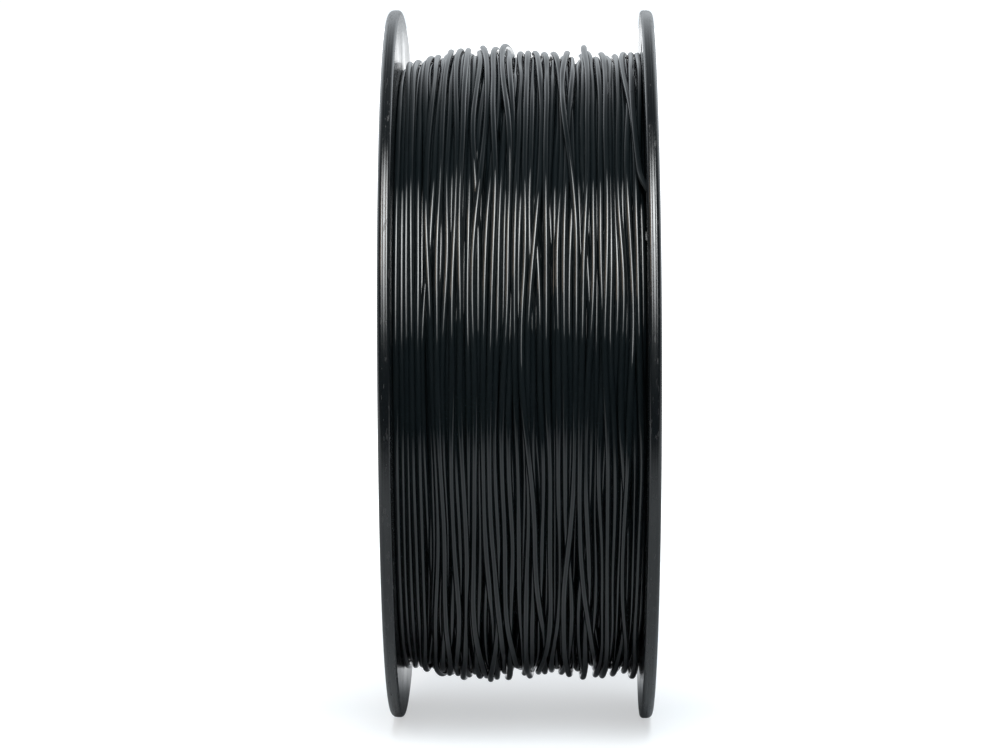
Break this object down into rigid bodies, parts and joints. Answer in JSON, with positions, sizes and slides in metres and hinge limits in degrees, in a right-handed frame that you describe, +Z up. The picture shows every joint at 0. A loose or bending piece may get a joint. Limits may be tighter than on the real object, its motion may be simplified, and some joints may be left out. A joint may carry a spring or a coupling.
{
  "type": "filament spool",
  "caption": "Flanged spool of wound black plastic filament, made of two press-together halves with a holder bore and a tucked-in free end.",
  "frame": {"origin": "middle of the bore, halfway between the two flanges", "axes": "+X along the spool's axis towards the half that carries the barrel, -Y the front, +Z up; the spool stands on its rims"},
  "size_m": [0.0736, 0.2, 0.2],
  "materials": {
    "moulded_plastic": "glossy black, injection moulded, with faint turning marks and rubbed rims",
    "filament": "glossy black drawn PLA"
  },
  "bodies": {
    "wound_half": {"right_half": "moulded_plastic", "filament_winding": "filament", "filament_free_end": "filament", "filament_inner_end": "filament"},
    "left_half": {"left_half": "moulded_plastic"}
  },
  "joints": [
    {"name": "left_half_pull", "type": "slide", "parent": "wound_half", "child": "left_half", "axis": [-1, 0, 0], "range_m": [0, 0.0217]}
  ]
}
